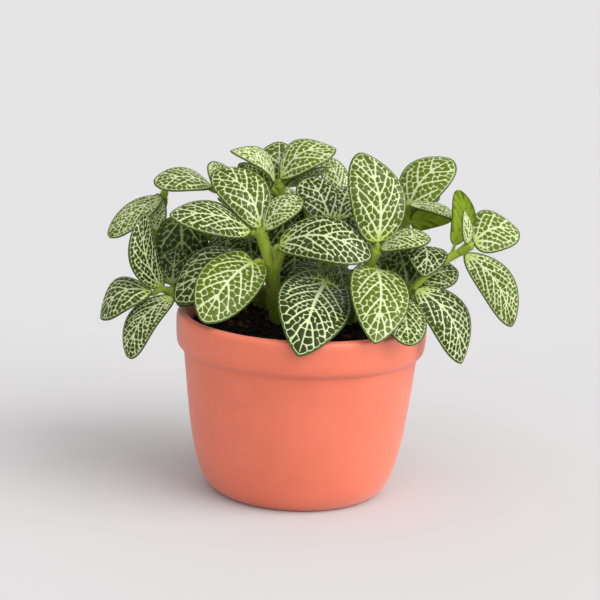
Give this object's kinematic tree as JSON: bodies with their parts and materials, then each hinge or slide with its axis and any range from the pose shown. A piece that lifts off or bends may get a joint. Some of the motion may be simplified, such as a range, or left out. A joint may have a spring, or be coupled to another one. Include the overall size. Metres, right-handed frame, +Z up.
{
  "type": "potted nerve plant",
  "caption": "Small mounded house plant with net-veined oval leaves on fleshy stems, in a round terracotta pot filled with soil.",
  "frame": {"origin": "middle of the pot's flat foot, on the surface that it stands on", "axes": "+Z up along the pot's axis, -Y towards the viewer of the picture, +X to the viewer's right"},
  "size_m": [0.1475, 0.1108, 0.124],
  "materials": {
    "terracotta": "matte",
    "potting_soil": "rough",
    "foliage": "satin"
  },
  "bodies": {
    "root": {"pot": "terracotta", "soil": "potting_soil", "leafy_stem_01_front_left": "foliage", "leafy_stem_02_front_middle": "foliage", "leafy_stem_03_middle": "foliage", "leafy_stem_04_front_right": "foliage", "leafy_stem_05_right": "foliage", "leafy_stem_06_left_over_the_rim": "foliage", "leafy_stem_07_left_back": "foliage", "leafy_stem_08_left_top": "foliage", "leafy_stem_09_top": "foliage", "leafy_stem_10_middle_back": "foliage", "leafy_stem_11_back_left": "foliage", "leafy_stem_12_back": "foliage", "leafy_stem_13_back_right": "foliage", "leafy_stem_14_right_back": "foliage"}
  },
  "joints": []
}
